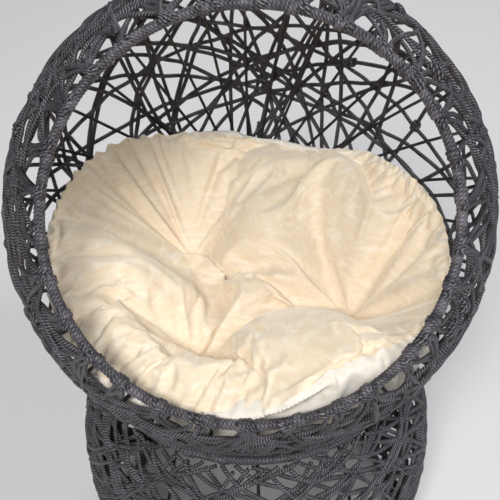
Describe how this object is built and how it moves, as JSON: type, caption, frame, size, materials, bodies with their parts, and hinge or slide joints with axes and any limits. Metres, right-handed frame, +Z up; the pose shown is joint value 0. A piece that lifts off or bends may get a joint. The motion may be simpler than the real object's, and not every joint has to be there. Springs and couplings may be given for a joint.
{
  "type": "wicker pet bed basket",
  "caption": "Raised round pet bed: a woven cord ball with a large tilted round mouth, on a woven barrel base, holding a thick tufted round cushion.",
  "frame": {"origin": "on the floor, under the middle of the basket's outline", "axes": "+Z up, -Y is the side that the mouth faces"},
  "size_m": [0.4674, 0.4535, 0.6484],
  "materials": {
    "frame_steel": "black powder coat, semi-gloss",
    "paper_cord": "twisted paper cord, matt, dark grey",
    "cushion_velvet": "short-pile velvet, cream",
    "cushion_lining": "plain woven cloth, off-white",
    "stuffing": "loose fibre",
    "thread": "waxed upholstery thread"
  },
  "bodies": {
    "basket": {"pod_rim_ring": "frame_steel", "pod_rim_wrap": "paper_cord", "pod_pole_ring": "frame_steel", "pod_rib_01": "frame_steel", "pod_rib_02": "frame_steel", "pod_rib_03": "frame_steel", "pod_rib_04": "frame_steel", "pod_rib_05": "frame_steel", "pod_rib_06": "frame_steel", "pod_rib_07": "frame_steel", "pod_rib_08": "frame_steel", "pod_rib_09": "frame_steel", "pod_rib_10": "frame_steel", "pod_rib_11": "frame_steel", "pod_rib_12": "frame_steel", "pod_rib_13": "frame_steel", "pod_rib_14": "frame_steel", "pod_rib_15": "frame_steel", "pod_rib_16": "frame_steel", "pod_rib_17": "frame_steel", "pod_rib_18": "frame_steel", "pod_rib_19": "frame_steel", "pod_rib_20": "frame_steel", "pod_rib_21": "frame_steel", "pod_rib_22": "frame_steel", "pod_rib_23": "frame_steel", "pod_rib_24": "frame_steel", "pod_rib_25": "frame_steel", "pod_rib_26": "frame_steel", "pod_rib_27": "frame_steel", "pod_rib_28": "frame_steel", "pod_rib_29": "frame_steel", "pod_rib_30": "frame_steel", "pod_weave": "paper_cord", "base_top_ring": "frame_steel", "base_top_wrap": "paper_cord", "base_bottom_ring": "frame_steel", "base_bottom_wrap": "paper_cord", "base_weave": "paper_cord", "base_rib_01": "frame_steel", "base_rib_02": "frame_steel", "base_rib_03": "frame_steel", "base_rib_04": "frame_steel", "base_rib_05": "frame_steel", "base_rib_06": "frame_steel", "base_rib_07": "frame_steel", "base_rib_08": "frame_steel", "base_rib_09": "frame_steel", "base_rib_10": "frame_steel", "base_rib_11": "frame_steel", "base_rib_12": "frame_steel"},
    "cushion": {"cushion_top_cover": "cushion_velvet", "cushion_bottom_cover": "cushion_lining", "cushion_filling": "stuffing", "cushion_tuft_1": "thread", "cushion_tuft_2": "thread", "cushion_tuft_3": "thread"}
  },
  "joints": [
    {"name": "cushion_lift", "type": "slide", "parent": "basket", "child": "cushion", "axis": [0, 0, 1], "range_m": [0, 0.09]}
  ]
}
